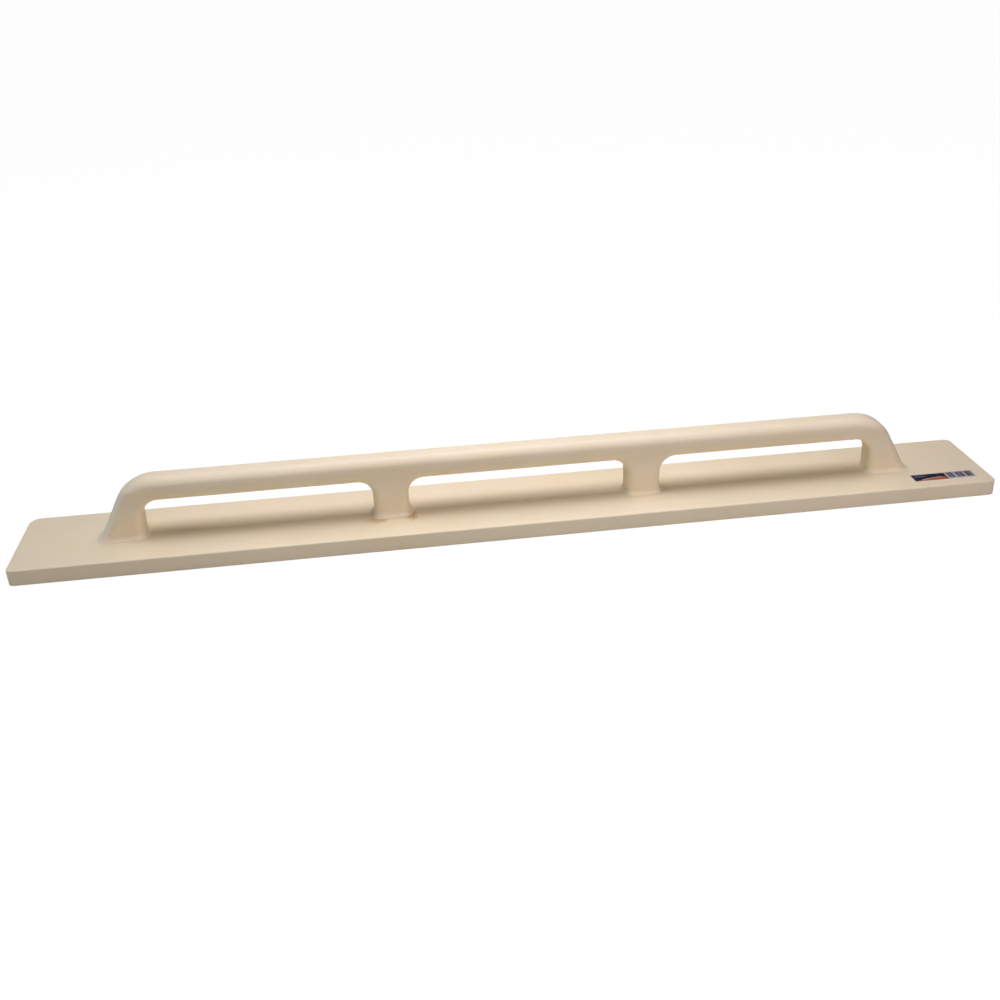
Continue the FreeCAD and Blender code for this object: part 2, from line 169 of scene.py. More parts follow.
# ----------------------------------------------------------- foam materials
def stain_and_shade_patch(mat, base, centre, reach, colour, strength, ragged):
    """Tint a soft-edged patch around a place: a real stain, or painted shade."""
    offset = mat.add("ShaderNodeVectorMath", {0: mat.coord, 1: [c * MM for c in centre]},
                     operation="SUBTRACT").outputs[0]
    relative = mat.add("ShaderNodeVectorMath", {0: offset, 1: [r * MM for r in reach]},
                       operation="DIVIDE").outputs[0]
    far = mat.add("ShaderNodeVectorMath", {0: relative}, operation="LENGTH").outputs["Value"]
    edge = mat.remap(mat.noise(scale=170.0, roughness=0.6), over=(0.3, 0.7),
                     to=(-ragged, ragged))
    distance = mat.math("ADD", far, edge)
    return mat.mix(mat.remap(distance, over=(0.35, 1.1), to=(strength, 0.0)), base, colour)


def pinholes(mat):
    """Mask of scattered pinholes: the middles of about one cell in five."""
    cells = mat.voronoi(scale=210.0)
    near = mat.remap(cells["Distance"], over=(0.045, 0.085), to=(1.0, 0.0))
    chance = mat.add("ShaderNodeSeparateColor", {0: cells["Color"]}).outputs[0]
    return mat.math("MULTIPLY", near, mat.math("GREATER_THAN", chance, 0.80))


def foam_material(name, tone, polish, handled=False, stains_and_shade=()):
    """Skin of moulded hard polyurethane foam: cream, satin, softly mottled,
    with closed pinholes and the fine pebble left by the mould."""
    mat = NodeMaterial(name)
    warm = tinted(tone, 0.985, 0.955, 0.88)
    cool = tinted(tone, 0.965, 0.975, 0.99)
    clouds = mat.noise(scale=9.0, detail=4.0, roughness=0.6, distortion=0.4)
    base = mat.ramp(clouds, [(0.30, warm), (0.50, tone), (0.72, tinted(tone, 1.03))])
    patches = mat.remap(mat.noise(scale=31.0), over=(0.42, 0.70), to=(0.0, 0.45))
    base = mat.mix(patches, base, cool)
    speck = mat.remap(mat.noise(scale=900.0, detail=2.0, roughness=0.6),
                      over=(0.30, 0.70), to=(0.985, 1.012))
    speck_grey = mat.add("ShaderNodeCombineColor", {0: speck, 1: speck, 2: speck}).outputs[0]
    base = mat.mix(1.0, base, speck_grey, "MULTIPLY")
    # the pinholes are a little darker than the skin
    pin = pinholes(mat)
    base = mat.mix(mat.math("MULTIPLY", pin, 0.30), base, tinted(tone, 0.70, 0.62, 0.50))
    # real resin stains, and one spot of painted shade at the right toe
    for row in stains_and_shade:
        base = stain_and_shade_patch(mat, base, *row)

    # worn, slightly polished highlights on the outer edges
    pointed = mat.add("ShaderNodeNewGeometry").outputs["Pointiness"]
    worn = mat.remap(pointed, over=(0.515, 0.560), to=(0.0, 1.0))
    rub = mat.noise(scale=60.0, detail=4.0, roughness=0.6)
    worn = mat.math("MULTIPLY", worn, mat.remap(rub, over=(0.40, 0.62), to=(0.0, 0.5)))
    base = mat.mix(worn, base, tinted(tone, 1.05))

    rough = mat.remap(mat.noise(scale=48.0, detail=4.0, roughness=0.6),
                      over=(0.25, 0.75), to=(polish - 0.06, polish + 0.08))
    if handled:
        soft = mat.remap(mat.noise(scale=14.0, detail=2.0, roughness=0.5),
                         over=(0.35, 0.65), to=(-0.05, 0.03))
        rough = mat.math("ADD", rough, soft)
    rough = mat.math("SUBTRACT", rough, mat.math("MULTIPLY", worn, 0.06))

    pebble = mat.noise(scale=650.0, roughness=0.5)
    swell = mat.noise(scale=26.0, detail=2.0, roughness=0.5)
    normal = mat.bump(swell, strength=0.12, distance=0.0012)
    normal = mat.bump(pebble, strength=0.10, distance=0.00012, under=normal)
    normal = mat.bump(mat.math("SUBTRACT", 1.0, pin), strength=0.5, distance=0.00020,
                      under=normal)
    return mat.finish(Base_Color=base, Roughness=rough, Normal=normal,
                      Specular_IOR_Level=0.40, Subsurface_Weight=0.10,
                      Subsurface_Radius=(0.0022, 0.0015, 0.0008), Subsurface_Scale=1.0)


def sole_material():
    """The working face: skinned foam trued by sanding along its length, so it
    is a little paler, matt and full of cut cells."""
    mat = NodeMaterial("foam_sole_face")
    tone = srgb(232, 221, 198)
    along = mat.noise(scale=38.0, detail=5.0, roughness=0.6, vector=mat.scaled(0.10, 6.0, 1.0))
    base = mat.ramp(along, [(0.30, tinted(tone, 0.93, 0.92, 0.89)), (0.70, tone)])
    distance = mat.voronoi(scale=620.0)["Distance"]
    cells = mat.remap(distance, over=(0.05, 0.30), to=(0.0, 1.0))
    base = mat.mix(mat.remap(distance, over=(0.04, 0.22), to=(0.28, 0.0)), base,
                   tinted(tone, 0.74, 0.67, 0.55))
    normal = mat.bump(along, strength=0.25, distance=0.00025)
    normal = mat.bump(cells, strength=0.45, distance=0.00018, under=normal)
    return mat.finish(Base_Color=base, Normal=normal, Specular_IOR_Level=0.3,
                      Roughness=mat.remap(along, over=(0.3, 0.7), to=(0.72, 0.86)))


# Bonding resin soaked in at the foot of the left middle post, and painted shade as a small dark
# spot at the root of the right toe:
# centre, reach, colour, strength, raggedness of the edge.
AMBER = srgb(214, 176, 108)
BLADE_STAINS_AND_SHADE = [
    ((-147.5, -17.5, BOARD_TOP), (10.0, 9.0, 6.0), AMBER, 0.75, 0.30),
    ((-140.0, -21.0, BOARD_TOP), (5.0, 4.0, 6.0), AMBER, 0.55, 0.30),
    ((-111.0, -14.5, BOARD_TOP), (7.0, 11.0, 6.0), srgb(206, 168, 94), 0.85, 0.30),
    # painted shade: a small dark spot where the right toe meets the board
    ((420.2, -4.3, BOARD_TOP), (2.2, 3.2, 5.0), srgb(110, 84, 58), 0.75, 0.20),
]
FOAM_BLADE = foam_material("foam_blade_skin", srgb(239, 220, 174), polish=0.50,
                           stains_and_shade=BLADE_STAINS_AND_SHADE)
FOAM_GRIP = foam_material("foam_grip_skin", srgb(240, 221, 176), polish=0.54, handled=True)
FOAM_SOLE = sole_material()


# ---------------------------------------------------------- other materials
def resin_material():
    mat = NodeMaterial("amber_resin")
    depth = mat.noise(scale=160.0, roughness=0.5)
    colour = mat.ramp(depth, [(0.3, srgb(192, 150, 88)), (0.55, srgb(212, 176, 118)),
                              (0.8, srgb(226, 198, 148))])
    ripple = mat.noise(scale=420.0, detail=2.0, roughness=0.5)
    return mat.finish(Base_Color=colour, Subsurface_Weight=0.25,
                      Roughness=mat.remap(depth, over=(0.3, 0.7), to=(0.22, 0.38)),
                      Normal=mat.bump(ripple, strength=0.3, distance=0.0002),
                      Subsurface_Radius=(0.003, 0.0016, 0.0006), Subsurface_Scale=1.0)


def wood_material():
    """Beech with its grain along Z."""
    mat = NodeMaterial("beech_dowel")
    grain = mat.noise(scale=240.0, detail=5.0, roughness=0.65,
                      vector=mat.scaled(1.0, 1.0, 0.06), distortion=0.8)
    colour = mat.ramp(grain, [(0.3, srgb(166, 122, 82)), (0.55, srgb(205, 165, 120)),
                              (0.75, srgb(222, 187, 144))])
    fleck = mat.noise(scale=900.0, detail=2.0, roughness=0.6, vector=mat.scaled(1.0, 1.0, 0.15))
    normal = mat.bump(grain, strength=0.3, distance=0.0002)
    normal = mat.bump(fleck, strength=0.3, distance=0.0001, under=normal)
    return mat.finish(Base_Color=colour, Normal=normal,
                      Roughness=mat.remap(fleck, over=(0.3, 0.7), to=(0.5, 0.7)))


def metal_material(name, colour, x_scale, roughness):
    """Bare metal with lines drawn out along X; a small x_scale makes them long."""
    mat = NodeMaterial(name)
    lines = mat.noise(scale=320.0, detail=5.0, roughness=0.6,
                      vector=mat.scaled(x_scale, 1.0, 1.0))
    base = mat.ramp(lines, [(0.3, tinted(colour, 0.82)), (0.7, colour)])
    blotches = mat.remap(mat.noise(scale=70.0, roughness=0.6), over=(0.3, 0.7),
                         to=(roughness - 0.07, roughness + 0.1))
    return mat.finish(Base_Color=base, Metallic=1.0, Roughness=blotches,
                      Normal=mat.bump(lines, strength=0.25, distance=0.00008))


def plug_material():
    mat = NodeMaterial("black_polyethylene")
    mottle = mat.noise(scale=300.0, roughness=0.5)
    colour = mat.ramp(mottle, [(0.3, (0.010, 0.010, 0.011, 1.0)),
                               (0.7, (0.022, 0.022, 0.024, 1.0))])
    return mat.finish(Base_Color=colour,
                      Roughness=mat.remap(mottle, over=(0.3, 0.7), to=(0.42, 0.58)),
                      Normal=mat.bump(mottle, strength=0.3, distance=0.0001))


def film_material(name, colour, roughness, fade):
    """Printed vinyl film with faint handling wear; fade is the depth of its mottle."""
    mat = NodeMaterial(name)
    mottle = mat.noise(scale=420.0, detail=4.0, roughness=0.6)
    scuff = mat.remap(mat.noise(scale=180.0, detail=5.0, roughness=0.7),
                      over=(0.62, 0.74), to=(0.0, 0.22))
    print_colour = mat.ramp(mottle, [(0.3, tinted(colour, 1 - fade)),
                                     (0.7, tinted(colour, 1 + fade * 0.5))])
    ripple = mat.noise(scale=55.0, detail=2.0, roughness=0.5)
    return mat.finish(Base_Color=mat.mix(scuff, print_colour, srgb(196, 186, 172)),
                      Roughness=mat.remap(mottle, over=(0.3, 0.7),
                                          to=(roughness - 0.05, roughness + 0.1)),
                      Normal=mat.bump(ripple, strength=0.25, distance=0.0003),
                      Specular_IOR_Level=0.5)


RESIN = resin_material()
WOOD = wood_material()
STEEL = metal_material("drawn_steel", srgb(176, 178, 180), x_scale=0.03, roughness=0.36)
ALUMINIUM = metal_material("mill_aluminium", srgb(205, 206, 208), x_scale=0.02, roughness=0.32)
PLUG = plug_material()
# name, colour, roughness, fade; the label's faces count along this list
LABEL_FILMS = [film_material(*row) for row in (
    ("film_ground", srgb(214, 203, 190), 0.34, 0.06),
    ("film_ink_dark", srgb(44, 42, 46), 0.28, 0.12),
    ("film_ink_slate", srgb(92, 104, 112), 0.28, 0.10),
    ("film_ink_band", srgb(190, 88, 50), 0.30, 0.10),
    ("film_ink_bars", srgb(58, 50, 52), 0.30, 0.12),
)]
GROUND, DARK, SLATE, BAND, BARS = range(5)


# --------------------------------------------------------------- mesh tools
def sharp_by_angle(mesh, degrees):
    """Break smooth shading at edges sharper than the angle."""
    bm = bmesh.new()
    bm.from_mesh(mesh)
    limit = math.radians(degrees)
    for edge in bm.edges:
        edge.smooth = not (len(edge.link_faces) == 2 and edge.calc_face_angle(0.0) > limit)
    bm.to_mesh(mesh)
    bm.free()


def make_piece(name, verts, faces, materials, replaces=None, sharp_angle=None,
               material_index=None):
    """It is shaded smooth up to sharp_angle in degrees, or flat without one."""
    mesh = bpy.data.meshes.new(name)
    mesh.from_pydata([tuple(v) for v in np.array(verts) * MM], [], [tuple(f) for f in faces])
    for material in materials:
        mesh.materials.append(material)
    if material_index is not None:
        mesh.polygons.foreach_set("material_index", np.asarray(material_index, np.int32))
    smooth = sharp_angle is not None
    mesh.polygons.foreach_set("use_smooth", np.full(len(mesh.polygons), smooth))
    mesh.update()
    mesh.validate()
    ob = bpy.data.objects.new(name, mesh)
    bpy.context.scene.collection.objects.link(ob)
    bm = bmesh.new()
    bm.from_mesh(mesh)
    bmesh.ops.recalc_face_normals(bm, faces=bm.faces)
    bm.to_mesh(mesh)
    bm.free()
    if smooth:
        sharp_by_angle(mesh, sharp_angle)
    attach(ob, "root")
    if replaces:
        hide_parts(replaces)
    return ob


def border_loop(columns, rows):
    """Border places (i, j) of a grid, anticlockwise from (0, 0)."""
    return ([(i, 0) for i in range(columns - 1)]
            + [(columns - 1, j) for j in range(rows - 1)]
            + [(i, rows - 1) for i in range(columns - 1, 0, -1)]
            + [(0, j) for j in range(rows - 1, 0, -1)])


# -------------------------------------------------------------------- blade
# plan corners, anticlockwise: sign of x, sign of y, radius
CORNERS = [(-1, -1, 5.5), (1, -1, 7.0), (1, 1, 7.5), (-1, 1, 11.0)]
CELLS_LONG, CELLS_ACROSS, CELLS_HALF_ARC = 120, 18, 5
TOP_EASE, SOLE_EASE = 1.5, 0.5      # radii of the top and sole edges
SIDE_HEIGHTS = (4.0, 8.0, 11.5)     # rings up the straight side


def wave(x, y, size, seed):
    return noise.noise(Vector((x / size + seed, y / size * 1.7 - seed, seed * 3.1)))


def blade_outline(inset):
    """Front, right, back and left sides, each from the middle of one corner
    arc to the middle of the next, going anticlockwise."""
    def on_arc(corner, angle):
        sign_x, sign_y, radius = corner
        centre = np.array([sign_x * (HALF_LENGTH - radius), sign_y * (HALF_WIDTH - radius)])
        return centre + (radius - inset) * np.array([math.cos(angle), math.sin(angle)])

    half_arc = math.radians(45)
    sides = []
    for i, first in enumerate(CORNERS):
        second = CORNERS[(i + 1) % 4]
        facing = math.radians(-90 + 90 * i)
        start, end = on_arc(first, facing), on_arc(second, facing)
        cells = CELLS_LONG if i % 2 == 0 else CELLS_ACROSS
        points = [on_arc(first, facing - half_arc * (1 - j / CELLS_HALF_ARC))
                  for j in range(CELLS_HALF_ARC)]
        points += [start + (end - start) * j / cells for j in range(cells + 1)]
        points += [on_arc(second, facing + half_arc * j / CELLS_HALF_ARC)
                   for j in range(1, CELLS_HALF_ARC + 1)]
        sides.append(np.array(points))
    return sides


def blade_grid(inset):
    """Plan points (i, j) that fill the outline, blended from its four sides."""
    front, right, back, left = blade_outline(inset)
    back, left = back[::-1], left[::-1]
    # blend over the true share of the length, so that columns stay straight
    mean_x = (front[:, 0] + back[:, 0]) / 2
    mean_y = (left[:, 1] + right[:, 1]) / 2
    u = ((mean_x - mean_x[0]) / (mean_x[-1] - mean_x[0]))[:, None, None]
    v = ((mean_y - mean_y[0]) / (mean_y[-1] - mean_y[0]))[None, :, None]
    return ((1 - v) * front[:, None, :] + v * back[:, None, :]
            + (1 - u) * left[None, :, :] + u * right[None, :, :]
            - ((1 - u) * (1 - v) * front[0] + u * (1 - v) * front[-1]
               + (1 - u) * v * back[0] + u * v * back[-1]))


def blade_levels():
    """(inset, z) of the rings from the sole to the top."""
    levels = []
    for j in range(4):
        angle = math.radians(90 * j / 3)
        levels.append((SOLE_EASE * (1 - math.sin(angle)), SOLE_EASE * (1 - math.cos(angle))))
    levels += [(0.0, z) for z in SIDE_HEIGHTS]
    for j in range(7):
        angle = math.radians(90 * j / 6)
        levels.append((TOP_EASE * (1 - math.cos(angle)),
                       BOARD_TOP - TOP_EASE + TOP_EASE * math.sin(angle)))
    return levels


def build_blade():
    """Board as a closed quad mesh. Both faces are gridded, and the top carries
    the slight waviness of a moulding."""
    edge_wander, top_hollow = 0.10, 0.13    # depths of the waviness
    rim, fade_in = 2.0, 8.0     # flat margin of the top, and where the waves grow in
    verts, faces, indices, rings = [], [], [], []
    levels = blade_levels()
    for inset, z in levels:
        points = np.concatenate([side[:-1] for side in blade_outline(inset)])
        rings.append(range(len(verts), len(verts) + len(points)))
        for x, y in points:
            if abs(y) > HALF_WIDTH - 3 and 1.0 < z < BOARD_TOP - 0.5:
                hollow = min(0.0, edge_wander * wave(x, y, size=170.0, seed=3.7))
                y += -hollow if y < 0 else hollow
            verts.append((x, y, z))
    count = len(rings[0])
    for low, high in zip(rings, rings[1:]):
        for i in range(count):
            following = (i + 1) % count
            faces.append((low[i], low[following], high[following], high[i]))
            indices.append(0)

    for ring, (inset, z), is_top in ((rings[0], levels[0], False),
                                     (rings[-1], levels[-1], True)):
        grid = blade_grid(inset)
        columns, rows = grid.shape[:2]
        ids = dict(zip(border_loop(columns, rows), ring))
        for i in range(1, columns - 1):
            for j in range(1, rows - 1):
                x, y = grid[i, j]
                dip = 0.0
                if is_top:
                    edge = min(HALF_LENGTH - abs(x), HALF_WIDTH - abs(y)) - rim
                    fade = max(0.0, min(1.0, edge / fade_in))
                    dip = min(0.0, top_hollow * wave(x, y, size=95.0, seed=1.3) * fade)
                ids[i, j] = len(verts)
                verts.append((x, y, z + dip))
        for i in range(columns - 1):
            for j in range(rows - 1):
                quad = (ids[i, j], ids[i + 1, j], ids[i + 1, j + 1], ids[i, j + 1])
                faces.append(quad if is_top else quad[::-1])
                indices.append(0 if is_top else 1)
    make_piece("darby_blade", verts, faces, [FOAM_BLADE, FOAM_SOLE],
               replaces="blade", sharp_angle=40, material_index=indices)


# -------------------------------------------------------------------- handle
# hand openings: left x, right x, top left radius, top right radius
OPENINGS = [(-OPEN_END, -POST_OUT, 16.8, 14.2),
            (-POST_IN, POST_IN, 16.2, 14.1),
            (POST_OUT, OPEN_END, 16.5, 15.4)]
OPENING_BOTTOM = -60.0          # the openings run on below the board
EDGE_TOP, EDGE_UNDER, EDGE_LEG = 9.0, 7.0, 9.3      # edge roundings
EASE_START, EASE_SPAN = 8.0, 30.0       # above the board, where leg rounding turns to bar's
LEAN_ABOVE, LEAN_BELOW = 0.05, 0.16     # lean of the sides either way from the parting line
LEAN_REACH, RETURN_SPAN = 9.0, 26.0     # depth of the lower lean, and of the way back out
FOOT_BLEND, FOOT_SINK = 6.5, 0.35
FLARE_LIMIT = 6.0               # how far the flare round a foot may spread
FOOT_BASE = 0.9                 # depth in the board where a foot is closed


def smoothstep(t):
    return t * t * (3 - 2 * t)


def outer_field(x, z):
    """Signed distance to the outline of bar and raked legs: a trapezium
    offset by the bend radius. It runs on below the board."""
    from_x, from_z = np.abs(x) - BEND_X, z - BEND_Z
    along_leg = -math.sin(RAKE) * from_x + math.cos(RAKE) * from_z
    flat = np.maximum(from_z, from_x * math.cos(RAKE) + from_z * math.sin(RAKE))
    in_bend = (from_x > 0) & (along_leg > 0)
    return np.where(in_bend, np.hypot(from_x, from_z), flat) - BEND


def opening_field(x, z, x0, x1, left_radius, right_radius):
    """Signed distance to a hand opening: a slot with rounded corners."""
    centre_x, half_x = (x0 + x1) / 2, (x1 - x0) / 2
    centre_z, half_z = (UNDERSIDE + OPENING_BOTTOM) / 2, (UNDERSIDE - OPENING_BOTTOM) / 2
    radius = np.where(x < centre_x, left_radius, right_radius)
    out_x = np.abs(x - centre_x) - (half_x - radius)
    out_z = np.abs(z - centre_z) - (half_z - radius)
    return (np.hypot(np.maximum(out_x, 0), np.maximum(out_z, 0))
            + np.minimum(np.maximum(out_x, out_z), 0) - radius)


def handle_field(p):
    """Signed distance to the grip casting."""
    x, y, z = p[..., 0], p[..., 1], p[..., 2]
    outer = outer_field(x, z)
    inner = -np.minimum.reduce([opening_field(x, z, *row) for row in OPENINGS])
    # the roundings of the bar ease to that of the feet
    ease = smoothstep(np.clip((z - BOARD_TOP - EASE_START) / EASE_SPAN, 0, 1))
    # the mould halves part at mid height of the bar: the sides lean in a little
    # above that line, and more below it, where the posts bring them out again
    below = (CREST + UNDERSIDE) / 2 - z
    back_out = np.clip((below - LEAN_REACH) / RETURN_SPAN, 0, 1)
    half = HALF_DEPTH - np.where(below < 0, -LEAN_ABOVE * below,
                                 LEAN_BELOW * np.clip(below, 0, LEAN_REACH)
                                 * (1 - smoothstep(back_out)))

    def rounded(distance, radius):
        out, across = distance + radius, np.abs(y) - (half - radius)
        return (np.minimum(np.maximum(out, across), 0)
                + np.hypot(np.maximum(out, 0), np.maximum(across, 0)) - radius)

    body = np.maximum(rounded(outer, EDGE_LEG + (EDGE_TOP - EDGE_LEG) * ease),
                      rounded(inner, EDGE_LEG + (EDGE_UNDER - EDGE_LEG) * ease))
    board = z - (BOARD_TOP - FOOT_SINK)
    near = np.maximum(FOOT_BLEND - np.abs(body - board), 0) / FOOT_BLEND
    blend = np.minimum(body, board) - near * near * FOOT_BLEND * 0.25
    # keep only the flare round each foot, and close it inside the board
    return np.maximum(np.maximum(blend, body - FLARE_LIMIT), (BOARD_TOP - FOOT_BASE) - z)


def crossed_cells(sign, shape):
    """Mask of the grid cells whose corners lie on both sides of the surface."""
    some = np.zeros([k - 1 for k in shape], bool)
    every = np.ones([k - 1 for k in shape], bool)
    for dx, dy, dz in np.ndindex(2, 2, 2):
        corner = sign[dx:shape[0] - 1 + dx, dy:shape[1] - 1 + dy, dz:shape[2] - 1 + dz]
        some |= corner
        every &= corner
    return some & ~every


def mean_crossings(values, cells):
    """Mean of the edge crossings of each cell, in grid steps."""
    total = np.zeros((len(cells), 3))
    count = np.zeros(len(cells))
    for corner in np.ndindex(2, 2, 2):
        for axis in range(3):
            if corner[axis] == 1:
                continue
            other = list(corner)
            other[axis] = 1
            start, end = cells + np.array(corner), cells + np.array(other)
            value0 = values[start[:, 0], start[:, 1], start[:, 2]]
            value1 = values[end[:, 0], end[:, 1], end[:, 2]]
            cross = (value0 < 0) != (value1 < 0)
            share = np.where(cross, value0 / np.where(cross, value0 - value1, 1.0), 0.0)
            point = start + 0.0
            point[:, axis] += share
            total[cross] += point[cross]
            count[cross] += 1
    return total / count[:, None]


def crossing_quads(sign, shape, ids):
    """One quad round every grid edge that crosses the surface."""
    faces = []
    for axis in range(3):
        a, b = (axis + 1) % 3, (axis + 2) % 3
        lower, upper = [slice(None)] * 3, [slice(None)] * 3
        lower[axis], upper[axis] = slice(0, shape[axis] - 1), slice(1, shape[axis])
        edge = np.argwhere(sign[tuple(lower)] != sign[tuple(upper)])
        within = ((edge[:, a] > 0) & (edge[:, b] > 0)
                  & (edge[:, a] < shape[a] - 1) & (edge[:, b] < shape[b] - 1))
        edge = edge[within]
        corners = []
        for da, db in ((-1, -1), (0, -1), (0, 0), (-1, 0)):
            cell = edge.copy()
            cell[:, a] += da
            cell[:, b] += db
            corners.append(ids[cell[:, 0], cell[:, 1], cell[:, 2]])
        quads = np.stack(corners, 1)
        inside = sign[edge[:, 0], edge[:, 1], edge[:, 2]]
        quads[~inside] = quads[~inside][:, ::-1]
        faces.append(quads)
    return np.concatenate(faces)


def settle(field, verts, faces, step, rounds=8, even_rounds=5):
    """Even out the spacing in the first rounds, and bring the vertices onto
    the surface by a Newton step in every round."""
    def gradient(points, eps=0.01):
        return np.stack([(field(points + eps * np.eye(3)[i]) - field(points - eps * np.eye(3)[i]))
                         / (2 * eps) for i in range(3)], -1)

    edges = np.concatenate([faces[:, [i, (i + 1) % 4]] for i in range(4)])
    for i in range(rounds):
        if i < even_rounds:
            total = np.zeros_like(verts)
            count = np.zeros(len(verts))
            for near, far in ((0, 1), (1, 0)):
                np.add.at(total, edges[:, near], verts[edges[:, far]])
                np.add.at(count, edges[:, near], 1)
            slope = gradient(verts)
            slope /= np.maximum(np.linalg.norm(slope, axis=1), 1e-6)[:, None]
            move = total / count[:, None] - verts
            move -= slope * np.sum(move * slope, 1)[:, None]
            verts = verts + 0.5 * move
        slope = gradient(verts)
        steepness = np.maximum(np.sum(slope * slope, 1), 0.25)
        move = -(field(verts) / steepness)[:, None] * slope
        size = np.linalg.norm(move, axis=1)
        move *= np.minimum(1.0, 0.6 * step / np.maximum(size, 1e-9))[:, None]
        verts = verts + move
    return verts


def surface_nets(field, lo, hi, step):
    """Quad mesh of field = 0, with one vertex per crossed cell."""
    shape = [int(math.ceil((hi[i] - lo[i]) / step)) + 1 for i in range(3)]
    axes = [lo[i] + step * np.arange(shape[i]) for i in range(3)]
    values = field(np.stack(np.meshgrid(*axes, indexing="ij"), -1))
    sign = values < 0
    active = crossed_cells(sign, shape)
    ids = -np.ones(active.shape, np.int64)
    ids[active] = np.arange(active.sum())
    verts = np.array(lo) + step * mean_crossings(values, np.argwhere(active))
    faces = crossing_quads(sign, shape, ids)
    return settle(field, verts, faces, step), faces


def build_handle():
    step = 1.45
    side, above = 9, 3      # room round the casting
    verts, faces = surface_nets(handle_field,
                                (-TOE - side, -HALF_DEPTH - side, BOARD_TOP - above),
                                (TOE + side, HALF_DEPTH + side, CREST + above), step)
    make_piece("darby_grip", verts, faces, [FOAM_GRIP],
               replaces="handle_frame", sharp_angle=50)


# ---------------------------------------------- flash lines and resin beads
UP = (0.0, 0.0, 1.0)


def unit_tangents(path):
    tangents = np.gradient(path, axis=0)
    return tangents / np.linalg.norm(tangents, axis=1)[:, None]


def build_bead(name, path, normals, width, height, sink, material):
    """Low rounded ridge along a path, closed, tapering at both ends."""
    normals = np.broadcast_to(normals, path.shape)
    side = np.cross(unit_tangents(path), normals)
    side /= np.linalg.norm(side, axis=1)[:, None]
    gaps = np.linalg.norm(np.diff(path, axis=0), axis=1)
    length = np.concatenate([[0], np.cumsum(gaps)])
    count, around = len(path), 8
    verts, faces = [], []
    for i in range(count):
        to_end = min(length[i], length[-1] - length[i])
        taper = min(1.0, 0.12 + to_end / (width * 6))
        wobble = 1.0 + 0.30 * noise.noise(Vector((length[i] * 0.045, 7.1, 2.3)))
        for j in range(around):
            angle = 2 * math.pi * j / around
            rise = (max(0.0, math.sin(angle)) * height * taper * wobble
                    + min(0.0, math.sin(angle)) * sink)
            verts.append(path[i] + side[i] * (math.cos(angle) * width / 2 * taper)
                         + normals[i] * rise)
    for i in range(count - 1):
        for j in range(around):
            a, b = i * around + j, i * around + (j + 1) % around
            faces.append((a, b, b + around, a + around))
    faces.append(tuple(range(around))[::-1])
    faces.append(tuple((count - 1) * around + j for j in range(around)))
    make_piece(name, verts, faces, [material], sharp_angle=70)


def crest_path():
    """Outline (x, z) of the casting, from the left toe to the right."""
    leg_top = BEND_Z + BEND * math.sin(RAKE)
    right = [(BEND_X + BEND * math.cos(a), BEND_Z + BEND * math.sin(a))
             for a in np.linspace(math.pi / 2, RAKE, 24)]
    right += [(leg_x(z), z) for z in np.linspace(leg_top, BOARD_TOP + 3.2, 16)[1:]]
    left = [(-x, z) for x, z in right[::-1]]
    bar = [(x, CREST) for x in np.linspace(-BEND_X, BEND_X, 200)[1:-1]]
    return np.array(left + bar + right)


def build_flash():
    """Moulding ridges: over the crest of the grip at mid thickness, and along
    the left end of the board's top."""
    x, z = crest_path().T
    path = np.stack([x, np.zeros(len(x)), z], 1)
    tangents = unit_tangents(path)
    normals = np.stack([-tangents[:, 2], np.zeros(len(x)), tangents[:, 0]], 1)
    build_bead("flash_line_grip", path - normals * 0.03, normals, width=0.55, height=0.09,
               sink=0.20, material=FOAM_GRIP)
    share = np.linspace(0, 1, 50)
    seam = np.stack([-423.5 - 73.5 * share, 1.4 + 2.8 * share,
                     np.full(50, BOARD_TOP - 0.02)], 1)
    build_bead("flash_line_blade_left", seam, UP, width=1.7, height=0.24, sink=0.25,
               material=FOAM_BLADE)


def build_resin():
    """Squeezed-out bonding resin at the front corners of the left middle post:
    low irregular beads that follow the root of the foot."""
    root_radius = EDGE_LEG + 4.3        # corner of the post, offset by the flare
    post_x = -(POST_IN + POST_OUT) / 2
    half_flat = (POST_OUT - POST_IN) / 2 - EDGE_LEG
    # name, first x, last x, width, height
    for name, x0, x1, width, height in (
            ("resin_bead_front_left", -150.0, -134.0, 2.4, 0.55),
            ("resin_bead_front_right", -118.5, -108.0, 3.0, 0.75)):
        x = np.linspace(x0, x1, 26)
        past_flat = np.clip(np.abs(x - post_x) - half_flat, 0, root_radius * 0.999)
        y = -(HALF_DEPTH - EDGE_LEG) - np.sqrt(root_radius ** 2 - past_flat ** 2)
        path = np.stack([x, y, np.full(len(x), BOARD_TOP - 0.05)], 1)
        build_bead(name, path, UP, width, height, sink=0.3, material=RESIN)


# --------------------------------------------------------------------- label
# sizes from the middle of the label
LABEL_HALF_X, LABEL_HALF_Y = 34.5, 8.0
FILM_BOTTOM, FILM_TOP = BOARD_TOP + 0.01, BOARD_TOP + 0.15
CORNER_CUT = 0.5
PANEL_LEFT, PANEL_RIGHT, SLANT_END = -33.7, 3.0, 1.2
PANEL_BREAKS = [-31.0, -25.5, -19.0, -13.0, -7.0, -2.0]
# y of the row lines; None is an edge of the slanting line of the panel
ROW_LINES = [-LABEL_HALF_Y, -7.3, None, None, 1.4, 4.8, 6.9, LABEL_HALF_Y]
# print of the panel's rows, dark elsewhere; row: left x, right x, film
PANEL_PRINT = {1: (-31.0, SLANT_END, BAND), 2: (-25.5, -2.0, GROUND), 4: (-31.0, -19.0, SLATE)}
# relative widths of bar, gap, bar, gap ... from the left
BAR_WIDTHS = [1.0, 0.5, 1.7, 0.6, 2.5, 0.9, 0.9, 1.5, 2.3, 0.5, 1.2, 0.5, 2.8, 1.3, 1.0,
              0.8, 2.9, 0.5, 1.5, 0.6, 0.9]
BARS_LEFT, BARS_LENGTH = 4.6, 27.8


